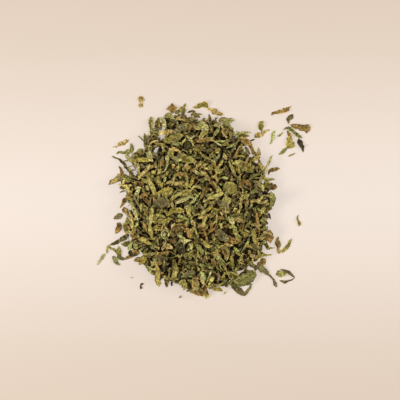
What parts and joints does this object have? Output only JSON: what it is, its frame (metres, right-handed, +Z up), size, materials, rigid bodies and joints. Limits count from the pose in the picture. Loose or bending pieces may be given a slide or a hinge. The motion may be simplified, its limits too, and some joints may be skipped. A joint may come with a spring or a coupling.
{
  "type": "heap of dried holy basil leaf",
  "caption": "Low loose heap of dried, rubbed holy basil leaf: torn, curled olive and brown flakes on a flat underside, with stray flakes lying round its foot.",
  "frame": {"origin": "middle of the heap's flat underside, on the surface that it lies on", "axes": "+Z up; seen from above, +X is to the right and +Y is up the picture"},
  "size_m": [0.1081, 0.1007, 0.0227],
  "materials": {
    "olive_leaf": "dull, veined, mottled olive green",
    "yellow_leaf": "dull, veined, yellowed green",
    "pale_leaf": "dull pale green, the hairy underside of the leaf and bare stalk",
    "lime_leaf": "dull light green",
    "green_leaf": "dull mid green",
    "dark_leaf": "dull, near-black green, rolled",
    "tan_leaf": "dull straw tan",
    "brown_leaf": "dull red-brown",
    "grey_leaf": "dull grey-olive"
  },
  "bodies": {
    "root": {"leaf_heap": "olive_leaf", "stray_tan_shard": "tan_leaf", "stray_brown_leaf": "brown_leaf", "stray_dark_shard": "dark_leaf", "stray_long_brown_leaf": "brown_leaf", "stray_folded_leaf": "green_leaf", "stray_olive_shard": "yellow_leaf", "stray_dark_leaf": "dark_leaf", "stray_short_sliver": "green_leaf", "stray_wisp": "green_leaf", "stray_lime_sliver": "lime_leaf", "stray_twisted_bit": "green_leaf", "stray_green_shard": "olive_leaf", "stray_tan_leaf": "tan_leaf", "stray_long_sliver": "pale_leaf", "stray_red_leaf": "brown_leaf", "stray_ochre_bit": "tan_leaf", "stray_upright_leaf": "brown_leaf", "stray_olive_sliver": "yellow_leaf", "stray_green_disc": "green_leaf", "stray_rolled_sliver": "dark_leaf", "stray_dark_sliver": "dark_leaf", "stray_left_leaf": "tan_leaf", "stray_left_sliver": "pale_leaf", "stray_left_dark_leaf": "green_leaf", "stray_small_bit": "dark_leaf", "top_grey_leaf": "grey_leaf", "top_pale_leaf": "pale_leaf", "top_round_olive": "olive_leaf", "top_round_dull": "olive_leaf", "top_round_dark": "grey_leaf", "top_yellow_leaf": "yellow_leaf", "top_yellow_shard": "yellow_leaf", "top_curled_pale": "pale_leaf", "top_long_green": "olive_leaf", "top_broad_green": "olive_leaf", "top_pale_sliver": "pale_leaf", "top_long_yellow": "yellow_leaf", "top_tan_leaf": "tan_leaf", "top_upright_green": "olive_leaf", "top_brown_curl": "brown_leaf", "top_tan_shard": "tan_leaf", "top_small_tan": "tan_leaf", "top_red_curl": "brown_leaf", "top_left_yellow": "yellow_leaf", "top_foot_yellow": "yellow_leaf", "top_foot_ochre": "tan_leaf", "top_big_green": "green_leaf", "top_foot_dark": "dark_leaf", "top_edge_brown": "brown_leaf", "top_rim_brown": "tan_leaf", "top_rim_pale": "pale_leaf", "top_right_brown": "brown_leaf", "top_left_curved": "dark_leaf", "top_left_rim_tan": "tan_leaf", "top_left_rim_brown": "brown_leaf", "stalked_leaf": "grey_leaf", "coiled_stalk": "pale_leaf"}
  },
  "joints": []
}
